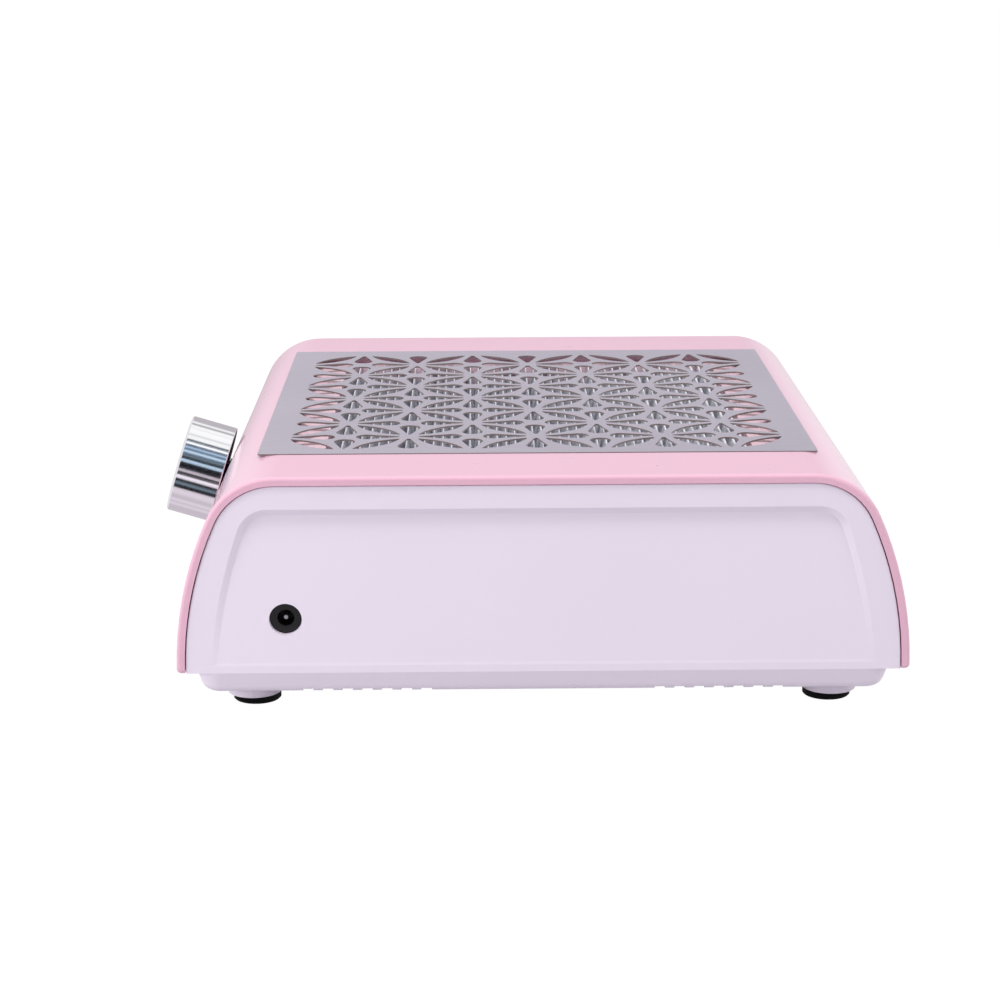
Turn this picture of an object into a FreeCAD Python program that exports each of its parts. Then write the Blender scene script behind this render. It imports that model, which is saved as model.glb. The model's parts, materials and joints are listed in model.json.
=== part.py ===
import FreeCAD, Part
import Sketcher
import math
import os

# Nail dust collector for a manicure table.
# Frame: millimetres, +Z up, origin on the bench at the centre of the case's footprint.
# -Y is the front with the speed knob, +X is the side with the DC socket.
# A pink arch-shaped cover closes over a white tray with two side walls. A pierced steel
# plate lies on top; under it a pleated filter sits in a pocket above two axial fans.

V = FreeCAD.Vector
doc = FreeCAD.newDocument("nail_dust_collector")

# ---------------------------------------------------------------- driving dimensions
SIZES = [
    # case and cover
    ("case_width", 271.0, "overall width along X"),
    ("cover_top", 86.3, "height of the flat top"),
    ("rebate_floor", 85.9, "height of the shallow seat for the plate"),
    ("rebate_gap", 0.5, "gap round the plate in its seat"),
    ("cover_wall", 3.0, "cover wall thickness"),
    ("cover_bottom", 15.5, "height of the cover's lower edge"),
    ("flat_half", 93.5, "half depth of the flat top"),
    ("shoulder_radius", 26.0, "radius of the shoulder"),
    ("shoulder_lean", 24.5, "angle where the shoulder meets the front"),
    ("front_radius", 134.0, "radius of the bowed front and back"),
    ("seam_gap", 0.3, "gap between cover and side wall"),
    ("panel_inset", 0.5, "side wall face behind the cover's edge"),
    ("panel_wall", 4.5, "side wall thickness"),
    ("floor_wall", 3.0, "tray floor thickness"),
    ("tub_bottom", 7.2, "height of the tray's underside"),
    ("tub_half", 123.3, "half depth of the tray"),
    ("tub_corner", 6.0, "tray corner radius in plan, at its underside"),
    ("tub_edge", 4.5, "radius round the tray's underside"),
    ("tub_draft", 20.0, "lean of the tray's walls"),
    # recessed field in each side wall
    ("recess_top", 74.8, "top edge of the side recess"),
    ("recess_foot", 18.0, "lower edge of the side recess"),
    ("recess_depth", 1.6, "depth at the top of the recess"),
    ("recess_slope", 2.3, "width of the sloped recess wall"),
    # pocket for the filter
    ("pocket_side", 184.0, "clear width of the filter pocket"),
    ("pocket_wall", 2.4, "pocket wall thickness"),
    ("pocket_foot", 62.0, "lower edge of the pocket wall"),
    ("ledge_side", 172.0, "clear width inside the filter ledge"),
    ("ledge_height", 71.2, "top of the filter ledge"),
    ("ledge_wall", 2.0, "filter ledge thickness"),
    # pierced plate
    ("plate_side", 200.0, "plate along X"),
    ("plate_length", 201.6, "plate along Y"),
    ("plate_shift", -1.1, "plate centre off the case's centre, along Y"),
    ("plate_gauge", 0.6, "plate thickness"),
    ("plate_corner", 1.5, "plate corner radius"),
    ("lattice_pitch", 23.5, "pitch of the pierced pattern"),
    ("lattice_shift", 2.0, "pattern centre off the plate's centre, along X"),
    # filter
    ("seal_wall", 1.0, "thickness of the foam under the filter"),
    ("filter_side", 182.0, "outside of the filter frame"),
    ("filter_clear", 176.0, "clear width inside the filter frame, along X"),
    ("filter_length", 158.0, "clear width inside the filter frame, along Y"),
    ("filter_top", 82.8, "top of the filter"),
    ("pleat_pitch", 3.4, "pitch of the pleats"),
    ("pleat_wall", 0.6, "thickness of the pleated paper"),
    # deck and fans
    ("deck_height", 58.0, "underside of the fan deck"),
    ("deck_wall", 2.5, "fan deck thickness"),
    ("deck_side", 196.0, "side of the fan deck"),
    ("fan_offset", 47.0, "distance from the centre to each fan along Y"),
    ("fan_side", 92.0, "side of the fan frame"),
    ("fan_depth", 25.0, "height of the fan frame"),
    ("fan_bore", 90.0, "fan frame bore"),
    ("fan_screw_pitch", 82.5, "spacing of the fan's screws"),
    ("hub_dia", 38.0, "impeller hub diameter"),
    ("blade_tip_dia", 87.0, "impeller diameter over the blades"),
    ("spindle_dia", 3.0, "impeller spindle diameter"),
    # feet and screws
    ("foot_x", 115.0, "foot centre along X"),
    ("foot_y", 102.8, "foot centre along Y"),
    ("foot_dia", 17.1, "rubber pad diameter"),
    ("pad_wall", 2.6, "rubber pad thickness"),
    ("boss_rim", 1.1, "foot boss's margin round the pad"),
    ("boss_shift", 0.9, "foot boss's centre outside the pad's, along Y"),
    ("screw_dia", 2.8, "case screw diameter"),
    # speed control
    ("knob_height", 54.6, "height where the knob's axis leaves the cover"),
    ("knob_dia", 39.0, "knob diameter"),
    ("knob_depth", 18.3, "knob thickness"),
    ("knob_gap", 1.4, "gap behind the knob"),
    ("knob_wall", 1.8, "knob wall thickness"),
    ("bushing_dia", 9.0, "threaded bushing of the speed control"),
    ("shaft_dia", 6.0, "control shaft diameter"),
    # DC socket
    ("socket_y", -90.5, "socket centre along Y"),
    ("socket_height", 34.9, "socket centre height"),
    ("socket_hole", 11.5, "hole in the side wall"),
]

sheet = doc.addObject("Spreadsheet::Sheet", "Sizes")
for row, (alias, value, note) in enumerate(SIZES, start=1):
    sheet.set(f"A{row}", note)
    sheet.set(f"B{row}", str(value))
    sheet.setAlias(f"B{row}", alias)
doc.recompute()


def size(alias):
    """A driving dimension, read back from the sheet."""
    return float(getattr(sheet, alias))


# ---------------------------------------------------------------- derived dimensions
HALF_WIDTH = size("case_width") / 2
PANEL_X = HALF_WIDTH - size("panel_inset")
COVER_TOP = size("cover_top")
COVER_BOTTOM = size("cover_bottom")
FLAT_HALF = size("flat_half")
SHOULDER_R = size("shoulder_radius")
FRONT_R = size("front_radius")
LEAN = math.radians(size("shoulder_lean"))
SHOULDER_Z = COVER_TOP - SHOULDER_R
FRONT_CENTRE_Y = FLAT_HALF - (FRONT_R - SHOULDER_R) * math.cos(LEAN)
FRONT_CENTRE_Z = SHOULDER_Z - (FRONT_R - SHOULDER_R) * math.sin(LEAN)
TUB_BOTTOM = size("tub_bottom")
TUB_FLOOR = TUB_BOTTOM + size("floor_wall")
FLANGE_TOP = COVER_BOTTOM + size("floor_wall")
REBATE_FLOOR = size("rebate_floor")
DECK_TOP = size("deck_height") + size("deck_wall")
FAN_FOOT = size("deck_height") - size("fan_depth")
FILTER_FOOT = size("ledge_height") + size("seal_wall")
CORNERS = [(sx, sy) for sx in (-1, 1) for sy in (-1, 1)]
FEET = [(sx * size("foot_x"), sy * size("foot_y")) for sx, sy in CORNERS]
FOOT_BOSSES = [(x, y + math.copysign(size("boss_shift"), y)) for x, y in FEET]

# The knob stands square to the bowed front.
KNOB_LEAN = math.asin((size("knob_height") - FRONT_CENTRE_Z) / FRONT_R)
KNOB_SEAT = V(0, -(FRONT_CENTRE_Y + FRONT_R * math.cos(KNOB_LEAN)), size("knob_height"))
KNOB_FRAME = FreeCAD.Placement(
    KNOB_SEAT, FreeCAD.Rotation(V(1, 0, 0), 90 - math.degrees(KNOB_LEAN)))

# ---------------------------------------------------------------- fixed layout inside the case
# posts in the tray meet bosses under the cover; the case screws come up through the feet
POST_TOP = 41.0
POST_R = 4.6
BOSS_TOP = 81.5
BOSS_GAP = 0.2
PILOT_DEPTH = 14.0
HEAD_SEAT = 13.0
HEAD_TUNNEL_R = 3.4
SHANK_TUNNEL_R = 1.7

# exhaust slots in the tray floor, one group at each end of each long edge
SLOT_COUNT = 7
SLOT_PITCH = 7.0
SLOT_WIDTH = 3.8
SLOT_GROUP_Y = 62.4
SLOT_INNER_X = 98.0
SLOT_OUTER_X = 132.1

# fan deck and fans
DECK_POSTS = [(sx * 88.0, sy * 61.0) for sx, sy in CORNERS]
DECK_POST_R = 4.0
FAN_SCREWS = [(sx * size("fan_screw_pitch") / 2,
               side * size("fan_offset") + sy * size("fan_screw_pitch") / 2)
              for side in (-1, 1) for sx, sy in CORNERS]
FAN_SCREW_R = 1.9
GUARD_BAR = 1.8
STRUT_WIDTH = 3.0
STRUT_DEPTH = 2.4
TUBE_R = 5.5
TUBE_BORE_R = 4.0
TUBE_TOP = 16.0
BLADE_COUNT = 7
BLADE_CHORD = 26.0
BLADE_WALL = 1.4
BLADE_PITCH = 40.0
HUB_WALL = 1.6
CORE_FOOT = 6.0
CORE_DEPTH = 8.0
CORE_R = 14.5
TOOTH_WIDTH = 4.0

# control board beside the knob
BOARD_X = 76.0
BOARD_Y = -98.0
BOARD_Z = 17.0
BOARD_HALF_X = 30.0
BOARD_HALF_Y = 14.0
BOARD_WALL = 1.6
BOARD_POSTS = [(BOARD_X + sx * 26.0, BOARD_Y + sy * 10.0) for sx, sy in CORNERS]
HEADER_LENGTH = 8.0
HEADER_WIDTH = 5.0
HEADER_HEIGHT = 7.0
HEADERS = [(BOARD_X - 21, BOARD_Y - 5), (BOARD_X + 12, BOARD_Y - 9),
           (BOARD_X - 21, BOARD_Y + 3), (BOARD_X + 12, BOARD_Y + 4)]
LEAD_DIA = 2.4
CONTROL_BACK = -13.4
SOCKET_DEPTH = 17.0

parts = []


def keep(thing, label, placement=None):
    """Name a finished sub-part and put it in its place."""
    thing.Label = label
    if placement is not None:
        thing.Placement = placement
    parts.append(thing)
    return thing


# ---------------------------------------------------------------- sketch helpers
def line(a, b):
    return ("line", a, b)


def arc(centre, radius, start, end):
    """Anticlockwise arc, angles in degrees."""
    return ("arc", centre, radius, start, end)


def polygon(points):
    return [line(a, b) for a, b in zip(points, points[1:] + points[:1])]


def rectangle(low, high):
    (x0, y0), (x1, y1) = low, high
    return polygon([(x0, y0), (x1, y0), (x1, y1), (x0, y1)])


def rounded(half_x, half_y, radius, y=0.0):
    """Rectangle with round corners, centred at (0, y)."""
    a, b, r = half_x - radius, half_y - radius, radius
    return [
        line((-a, y - half_y), (a, y - half_y)), arc((a, y - b), r, 270, 360),
        line((half_x, y - b), (half_x, y + b)), arc((a, y + b), r, 0, 90),
        line((a, y + half_y), (-a, y + half_y)), arc((-a, y + b), r, 90, 180),
        line((-half_x, y + b), (-half_x, y - b)), arc((-a, y - b), r, 180, 270),
    ]


def sketch_on(body, plane, name, outlines, height=None):
    """Sketch on one of the body's own origin planes, lifted by a sheet formula."""
    sketch = body.newObject("Sketcher::SketchObject", name)
    support = [o for o in body.Origin.OriginFeatures if o.Role == plane][0]
    sketch.AttachmentSupport = [(support, "")]
    sketch.MapMode = "FlatFace"
    if height is not None:
        sketch.setExpression("AttachmentOffset.Base.z", height)
    ends = []
    for outline in outlines:
        for segment in outline:
            if segment[0] == "line":
                a, b = segment[1:]
                index = sketch.addGeometry(Part.LineSegment(V(*a, 0), V(*b, 0)), False)
                if abs(a[1] - b[1]) < 1e-9:
                    sketch.addConstraint(Sketcher.Constraint("Horizontal", index))
                elif abs(a[0] - b[0]) < 1e-9:
                    sketch.addConstraint(Sketcher.Constraint("Vertical", index))
            else:
                centre, radius, start, end = segment[1:]
                circle = Part.Circle(V(*centre, 0), V(0, 0, 1), radius)
                curve = Part.ArcOfCircle(circle, math.radians(start), math.radians(end))
                index = sketch.addGeometry(curve, False)
                sketch.addConstraint(Sketcher.Constraint("Radius", index, radius))
            geometry = sketch.Geometry[index]
            ends += [(geometry.StartPoint, index, 1), (geometry.EndPoint, index, 2)]
    for i, (point, index, end) in enumerate(ends):
        for other, other_index, other_end in ends[i + 1:]:
            if index != other_index and point.distanceToPoint(other) < 1e-6:
                join = Sketcher.Constraint("Coincident", index, end, other_index, other_end)
                sketch.addConstraint(join)
    return sketch


def circles_on(body, plane, name, centres, radius, height=None):
    """Sketch of equal circles; the radius is a sheet formula."""
    sketch = body.newObject("Sketcher::SketchObject", name)
    support = [o for o in body.Origin.OriginFeatures if o.Role == plane][0]
    sketch.AttachmentSupport = [(support, "")]
    sketch.MapMode = "FlatFace"
    if height is not None:
        sketch.setExpression("AttachmentOffset.Base.z", height)
    for x, y in centres:
        index = sketch.addGeometry(Part.Circle(V(x, y, 0), V(0, 0, 1), 1.0), False)
        sketch.addConstraint(Sketcher.Constraint("DistanceX", -1, 1, index, 3, x))
        sketch.addConstraint(Sketcher.Constraint("DistanceY", -1, 1, index, 3, y))
        row = sketch.addConstraint(Sketcher.Constraint("Radius", index, 1.0))
        sketch.setExpression(f"Constraints[{row}]", radius)
    return sketch


def pad(body, sketch, length, symmetric=False, taper=None):
    """Pad along the sketch's normal; the length is a sheet formula."""
    feature = body.newObject("PartDesign::Pad", sketch.Name + "Pad")
    feature.Profile = sketch
    feature.SideType = "Symmetric" if symmetric else "One side"
    feature.setExpression("Length", length)
    if taper is not None:
        feature.TaperAngle = taper
    doc.recompute()
    return feature


def cut(body, sketch, length, symmetric=False):
    """Pocket along the sketch's normal (upwards or outwards); it must remove material."""
    before = body.Shape.Volume
    feature = body.newObject("PartDesign::Pocket", sketch.Name + "Cut")
    feature.Profile = sketch
    feature.SideType = "Symmetric" if symmetric else "One side"
    feature.Reversed = not symmetric
    feature.setExpression("Length", length)
    doc.recompute()
    if body.Shape.Volume > before - 1e-3:
        raise RuntimeError(f"{feature.Name} cuts nothing")
    return feature


def round_edges(body, radius, wanted):
    """Fillet the tip's edges that pass the test."""
    tip = body.Tip
    names = [f"Edge{i}" for i, e in enumerate(tip.Shape.Edges, start=1) if wanted(e)]
    feature = body.newObject("PartDesign::Fillet", tip.Name + "Round")
    feature.Base = (tip, names)
    feature.setExpression("Radius", radius)
    doc.recompute()
    return feature


def turned(name, profile, placement=None, label=None):
    """Body revolved about its Z axis from a closed (radius, height) outline."""
    body = doc.addObject("PartDesign::Body", name)
    sketch = sketch_on(body, "XZ_Plane", name + "Profile", [polygon(profile)])
    feature = body.newObject("PartDesign::Revolution", name + "Turn")
    feature.Profile = sketch
    feature.ReferenceAxis = (sketch, ["V_Axis"])
    feature.Angle = 360
    doc.recompute()
    return keep(body, label or name, placement)


def revolve(profile):
    """Plain shape revolved about Z from a closed (radius, height) outline."""
    wire = Part.makePolygon([V(r, 0, z) for r, z in profile + profile[:1]])
    return Part.Face(wire).revolve(V(0, 0, 0), V(0, 0, 1), 360)


def feature(label, shape, placement=None):
    """Sub-part whose shape is made with Part's own functions."""
    thing = doc.addObject("Part::Feature", label)
    thing.Shape = shape
    return keep(thing, label, placement)


def copies(label, shape, places):
    """Identical pieces in one group of separate solids."""
    solids = []
    for place in places:
        solid = shape.copy()
        solid.Placement = place
        solids.append(solid)
    return feature(label, Part.makeCompound(solids))


def at(x, y, z, rotation=None):
    return FreeCAD.Placement(V(x, y, z), rotation or FreeCAD.Rotation())


def ring(outer, inner, low, high):
    return [(inner, low), (outer, low), (outer, high), (inner, high)]


def pan_screw(head_radius, head_depth, radius, length):
    """Screw along -Z: head on top of Z = 0, shank below, with a cross recess."""
    solid = revolve([(0, -length), (radius * 0.6, -length), (radius, -length + radius),
                     (radius, 0), (head_radius, 0), (head_radius, head_depth * 0.5),
                     (head_radius * 0.7, head_depth), (0, head_depth)])
    slot_length = head_radius * 1.1
    slot_width = head_radius * 0.25
    slot_depth = head_depth * 0.55
    for turn in (0, 90):
        slot = Part.makeBox(slot_length, slot_width, slot_depth)
        slot.translate(V(-slot_length / 2, -slot_width / 2, head_depth - slot_depth))
        slot.rotate(V(0, 0, 0), V(0, 0, 1), turn)
        solid = solid.cut(slot)
    return solid


# ---------------------------------------------------------------- arch-shaped outline
def arch(offset, foot):
    """The case's arch, offset inwards, down to height foot on both sides."""
    shoulder = SHOULDER_R - offset
    front = FRONT_R - offset
    lean = size("shoulder_lean")
    low = math.degrees(math.asin((foot - FRONT_CENTRE_Z) / front))
    top = COVER_TOP - offset
    segments = [
        line((FLAT_HALF, top), (-FLAT_HALF, top)),
        arc((FLAT_HALF, SHOULDER_Z), shoulder, lean, 90),
        arc((FRONT_CENTRE_Y, FRONT_CENTRE_Z), front, low, lean),
        arc((-FLAT_HALF, SHOULDER_Z), shoulder, 90, 180 - lean),
        arc((-FRONT_CENTRE_Y, FRONT_CENTRE_Z), front, 180 - lean, 180 - low),
    ]
    foot_y = FRONT_CENTRE_Y + front * math.cos(math.radians(low))
    return segments, foot_y


def depth_inside(y, z):
    """How far a point of the side view lies inside the cover's outer face."""
    y = abs(y)
    if y <= FLAT_HALF:
        return COVER_TOP - z
    across, up = y - FLAT_HALF, z - SHOULDER_Z
    if math.atan2(up, across) > LEAN:
        return SHOULDER_R - math.hypot(across, up)
    return FRONT_R - math.hypot(y - FRONT_CENTRE_Y, z - FRONT_CENTRE_Z)


# ---------------------------------------------------------------- top cover
def make_top_cover():
    body = doc.addObject("PartDesign::Body", "CoverShell")
    outer, outer_foot = arch(0, COVER_BOTTOM)
    inner, inner_foot = arch(size("cover_wall"), COVER_BOTTOM)
    rims = [line((s * outer_foot, COVER_BOTTOM), (s * inner_foot, COVER_BOTTOM)) for s in (-1, 1)]
    pad(body, sketch_on(body, "YZ_Plane", "CoverArch", [outer + inner + rims]),
        "Sizes.case_width", symmetric=True)

    def lower_corner(edge):
        box = edge.BoundBox
        along = box.XLength > HALF_WIDTH and box.ZMax < COVER_BOTTOM + 0.01
        return along and abs(box.Center.y) > outer_foot - 0.01

    round_edges(body, "Sizes.cover_wall * 0.55", lower_corner)

    def outer_rim(edge):
        point = edge.valueAt((edge.FirstParameter + edge.LastParameter) / 2)
        on_end = abs(abs(point.x) - HALF_WIDTH) < 0.01 and edge.BoundBox.XLength < 0.01
        return on_end and depth_inside(point.y, point.z) < size("cover_wall") * 0.4

    round_edges(body, "Sizes.cover_wall * 0.45", outer_rim)
    gap = size("rebate_gap")
    plan = rounded(size("plate_side") / 2 + gap, size("plate_length") / 2 + gap,
                   size("plate_corner") + gap, size("plate_shift"))
    cut(body, sketch_on(body, "XY_Plane", "PlateSeat", [plan], "Sizes.rebate_floor"), "5")
    mouth = size("pocket_side") / 2
    corner = 4.0
    cut(body, sketch_on(body, "XY_Plane", "PocketMouth", [rounded(mouth, mouth, corner)]),
        "Sizes.cover_top + 1")
    wall = mouth + size("pocket_wall")
    ring_plan = [rounded(wall, wall, corner + size("pocket_wall")), rounded(mouth, mouth, corner)]
    pad(body, sketch_on(body, "XY_Plane", "PocketWall", ring_plan, "Sizes.pocket_foot"),
        "Sizes.cover_top - Sizes.cover_wall / 2 - Sizes.pocket_foot")
    ledge = size("ledge_side") / 2
    ledge_plan = [rounded(wall - 1, wall - 1, corner), rounded(ledge, ledge, corner - 1)]
    pad(body, sketch_on(body, "XY_Plane", "FilterLedge", ledge_plan,
                        "Sizes.ledge_height - Sizes.ledge_wall"), "Sizes.ledge_wall")
    pad(body, circles_on(body, "XY_Plane", "ScrewBoss", FEET, "Sizes.screw_dia * 1.5",
                         f"{POST_TOP + BOSS_GAP}"), f"{BOSS_TOP - POST_TOP - BOSS_GAP}")
    cut(body, circles_on(body, "XY_Plane", "ScrewPilot", FEET, "Sizes.screw_dia / 2", f"{POST_TOP}"),
        f"{PILOT_DEPTH}")

    hole = doc.addObject("Part::Cylinder", "ShaftHole")
    hole.setExpression("Radius", "Sizes.bushing_dia / 2 + 0.15")
    hole.Height = 10
    hole.Placement = KNOB_FRAME.multiply(at(0, 0, -6))
    shell = doc.addObject("Part::Cut", "TopCover")
    shell.Base = body
    shell.Tool = hole
    keep(shell, "top_cover")


# ---------------------------------------------------------------- lower case
def recess_outline(shrink):
    """Arch-like outline of the side recess, drawn smaller by shrink."""
    top = size("recess_top") - shrink
    foot = size("recess_foot") + shrink * 0.5
    corner = 11.0 - shrink
    lean = math.radians(14)
    foot_half = 117.0 - shrink
    bow = 190.0
    corner_y = 96.0
    corner_z = top - corner
    start = (corner_y + corner * math.cos(lean), corner_z + corner * math.sin(lean))
    end = (foot_half, foot)
    middle = V((start[0] + end[0]) / 2, (start[1] + end[1]) / 2, 0)
    chord = V(end[0] - start[0], end[1] - start[1], 0)
    across = V(-chord.y, chord.x, 0).normalize()
    reach = math.sqrt(bow ** 2 - (chord.Length / 2) ** 2)
    centre = middle - across * reach
    if centre.x > middle.x:
        centre = middle + across * reach
    high = math.degrees(math.atan2(start[1] - centre.y, start[0] - centre.x))
    low = math.degrees(math.atan2(end[1] - centre.y, end[0] - centre.x))
    lean_degrees = math.degrees(lean)
    return [
        line((corner_y, top), (-corner_y, top)),
        arc((-corner_y, corner_z), corner, 90, 180 - lean_degrees),
        arc((-centre.x, centre.y), bow, 180 - high, 180 - low),
        line((-foot_half, foot), (foot_half, foot)),
        arc((centre.x, centre.y), bow, low, high),
        arc((corner_y, corner_z), corner, lean_degrees, 90),
    ]


def make_lower_case():
    body = doc.addObject("PartDesign::Body", "LowerCase")
    draft = (COVER_BOTTOM - TUB_BOTTOM) * math.tan(math.radians(size("tub_draft")))
    pad(body, sketch_on(body, "XY_Plane", "TubPlan",
                        [rounded(PANEL_X - draft, size("tub_half") - draft, size("tub_corner"))],
                        "Sizes.tub_bottom"),
        "Sizes.cover_bottom - Sizes.tub_bottom", taper=size("tub_draft"))
    round_edges(body, "Sizes.tub_edge", lambda e: e.BoundBox.ZMax < TUB_BOTTOM + 0.01)

    inset = size("cover_wall") + size("seam_gap")
    outline, foot_y = arch(inset, COVER_BOTTOM)
    outline = outline + [line((-foot_y, COVER_BOTTOM), (foot_y, COVER_BOTTOM))]
    pad(body, sketch_on(body, "YZ_Plane", "WallOutline", [outline]),
        "Sizes.case_width - 2 * Sizes.panel_inset", symmetric=True)
    hollow = rectangle((-150, FLANGE_TOP), (150, COVER_TOP + 10))
    cut(body, sketch_on(body, "YZ_Plane", "UpperHollow", [hollow]),
        "Sizes.case_width - 2 * Sizes.panel_inset - 2 * Sizes.panel_wall", symmetric=True)
    tub_wall = size("panel_wall") + 2
    cut(body, sketch_on(body, "XY_Plane", "TubHollow",
                        [rounded(PANEL_X - tub_wall, size("tub_half") - size("floor_wall") - 1, 5)],
                        "Sizes.tub_bottom + Sizes.floor_wall"),
        "Sizes.cover_bottom - Sizes.tub_bottom + 1")

    # rounded outer rim of each side wall
    def wall_rim(edge):
        box = edge.BoundBox
        on_end = abs(abs(box.Center.x) - PANEL_X) < 0.01 and box.XLength < 0.01
        return on_end and box.ZMin > COVER_BOTTOM + 0.5 and edge.Length > 10

    round_edges(body, "Sizes.cover_wall / 6", wall_rim)

    # recess with sloped walls and a floor that runs out to the surface at the foot
    face = sketch_on(body, "YZ_Plane", "RecessFace", [recess_outline(0)], f"{PANEL_X} + 0.01")
    floor = sketch_on(body, "YZ_Plane", "RecessFloor", [recess_outline(size("recess_slope"))])
    fall = math.degrees(math.atan2(size("recess_depth"), size("recess_top") - size("recess_foot")))
    turn = FreeCAD.Rotation(V(1, 0, 0), -fall)
    pivot = V(0, size("recess_foot"), PANEL_X)
    runout = 0.08
    floor.AttachmentOffset = FreeCAD.Placement(
        pivot - turn.multVec(V(0, size("recess_foot"), runout)), turn)
    before = body.Shape.Volume
    loft = body.newObject("PartDesign::SubtractiveLoft", "Recess")
    loft.Profile = face
    loft.Sections = [floor]
    loft.Ruled = True
    doc.recompute()
    mirror = body.newObject("PartDesign::Mirrored", "RecessMirror")
    mirror.Originals = [loft]
    plane = [o for o in body.Origin.OriginFeatures if o.Role == "YZ_Plane"][0]
    mirror.MirrorPlane = (plane, [""])
    body.Tip = mirror
    doc.recompute()
    if body.Shape.Volume > before - 1000:
        raise RuntimeError("the side recess cuts nothing")

    # feet, with stepped tunnels for the case screws, and the posts above them
    post_foot = TUB_FLOOR - 0.5
    pad(body, circles_on(body, "XY_Plane", "Foot", FOOT_BOSSES,
                         "Sizes.foot_dia / 2 + Sizes.boss_rim", "Sizes.pad_wall"),
        "Sizes.tub_bottom - Sizes.pad_wall + 1", taper=5)
    round_edges(body, "Sizes.boss_rim / 2", lambda e: e.BoundBox.ZMax < size("pad_wall") + 0.01)
    pad(body, circles_on(body, "XY_Plane", "Post", FEET, f"{POST_R}", f"{post_foot}"),
        f"{POST_TOP - post_foot}")
    cut(body, circles_on(body, "XY_Plane", "HeadTunnel", FEET, f"{HEAD_TUNNEL_R}"), f"{HEAD_SEAT}")
    cut(body, circles_on(body, "XY_Plane", "ShankTunnel", FEET, f"{SHANK_TUNNEL_R}"),
        f"{POST_TOP} + 1")

    # posts for the fan deck and the control board
    pad(body, circles_on(body, "XY_Plane", "DeckPost", DECK_POSTS, f"{DECK_POST_R}", f"{post_foot}"),
        f"Sizes.deck_height - {post_foot}")
    cut(body, circles_on(body, "XY_Plane", "DeckPilot", DECK_POSTS, "Sizes.screw_dia / 2",
                         "Sizes.deck_height - 12"), "13")
    pad(body, circles_on(body, "XY_Plane", "BoardPost", BOARD_POSTS, "2.8", f"{post_foot}"),
        f"{BOARD_Z - post_foot}")
    cut(body, circles_on(body, "XY_Plane", "BoardPilot", BOARD_POSTS, "1.1", f"{BOARD_Z} - 5"), "6")

    # DC socket hole
    cut(body, circles_on(body, "YZ_Plane", "SocketHole", [(size("socket_y"), size("socket_height"))],
                         "Sizes.socket_hole / 2", "Sizes.case_width / 2 - 8"), "10")

    # the exhaust slots break out into the tray's rounded edge
    slots = []
    for x_side in (-1, 1):
        for y_side in (-1, 1):
            for k in range(SLOT_COUNT):
                y = y_side * SLOT_GROUP_Y + (k - (SLOT_COUNT - 1) / 2) * SLOT_PITCH
                x0, x1 = sorted((x_side * SLOT_INNER_X, x_side * SLOT_OUTER_X))
                slots.append(rectangle((x0, y - SLOT_WIDTH / 2), (x1, y + SLOT_WIDTH / 2)))
    cut(body, sketch_on(body, "XY_Plane", "ExhaustSlots", slots),
        "Sizes.tub_bottom + Sizes.floor_wall + 0.2")
    keep(body, "lower_case")


# ---------------------------------------------------------------- pierced plate
def lens_hole(start, end, radius):
    """Pointed hole between two points, bounded by two arcs."""
    middle = (start + end) * 0.5
    along = end - start
    across = V(-along.y, along.x, 0).normalize()
    sagitta = radius - math.sqrt(radius ** 2 - (along.Length / 2) ** 2)
    sides = [Part.Arc(start, middle + across * sagitta, end).toShape(),
             Part.Arc(end, middle - across * sagitta, start).toShape()]
    return Part.Wire(sides)


def tear_hole(node, heading, pitch):
    """Tapered slot: a narrow round end near the node and a wide one further out."""
    near = node + heading * (0.18 * pitch)
    far = node + heading * (0.67 * pitch)
    small, large = 0.03 * pitch, 0.165 * pitch
    side = V(-heading.y, heading.x, 0)
    slope = math.acos((small - large) / (far - near).Length)
    rise = heading * math.cos(slope)
    reach = side * math.sin(slope)
    a, b = near + (rise + reach) * small, far + (rise + reach) * large
    c, d = far + (rise - reach) * large, near + (rise - reach) * small
    return Part.Wire([
        Part.LineSegment(a, b).toShape(),
        Part.Arc(b, far + heading * large, c).toShape(),
        Part.LineSegment(c, d).toShape(),
        Part.Arc(d, near - heading * small, a).toShape(),
    ])


def make_grille_plate():
    """Square sheet pierced with eight-petalled flowers on a diagonal lattice."""
    pitch = size("lattice_pitch")
    cells = 8
    half = cells / 2

    def node(i, j):
        return V((i - half) * pitch + size("lattice_shift"),
                 (j - half) * pitch + size("plate_shift"), 0)

    holes = []
    for i in range(cells):
        for j in range(cells):
            a, b = node(i + 1, j), node(i, j + 1)
            if (i + j) % 2:
                a, b = node(i, j), node(i + 1, j + 1)
            holes.append(lens_hole(a + (b - a) * 0.14, a + (b - a) * 0.86, 0.99 * pitch))
    for i in range(cells + 1):
        for j in range(cells + 1):
            if (i + j) % 2 == 0:
                continue
            for di, dj in ((1, 0), (-1, 0), (0, 1), (0, -1)):
                inside = 0 <= i + di <= cells and 0 <= j + dj <= cells
                on_border = (di and j in (0, cells)) or (dj and i in (0, cells))
                if inside and not on_border:
                    holes.append(tear_hole(node(i, j), V(di, dj, 0), pitch))
    width, length, corner = size("plate_side"), size("plate_length"), size("plate_corner")
    foot = V(-width / 2, size("plate_shift") - length / 2, 0)
    blank = Part.makeBox(width, length, size("plate_gauge"), foot)
    uprights = [e for e in blank.Edges if e.BoundBox.ZLength > size("plate_gauge") / 2]
    blank = blank.makeFillet(corner, uprights)
    cutters = []
    for hole in holes:
        tool = Part.Face(hole).extrude(V(0, 0, size("plate_gauge") + 2))
        tool.translate(V(0, 0, -1))
        cutters.append(tool)
    feature("grille_plate", blank.cut(Part.makeCompound(cutters)), at(0, 0, REBATE_FLOOR))


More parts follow.
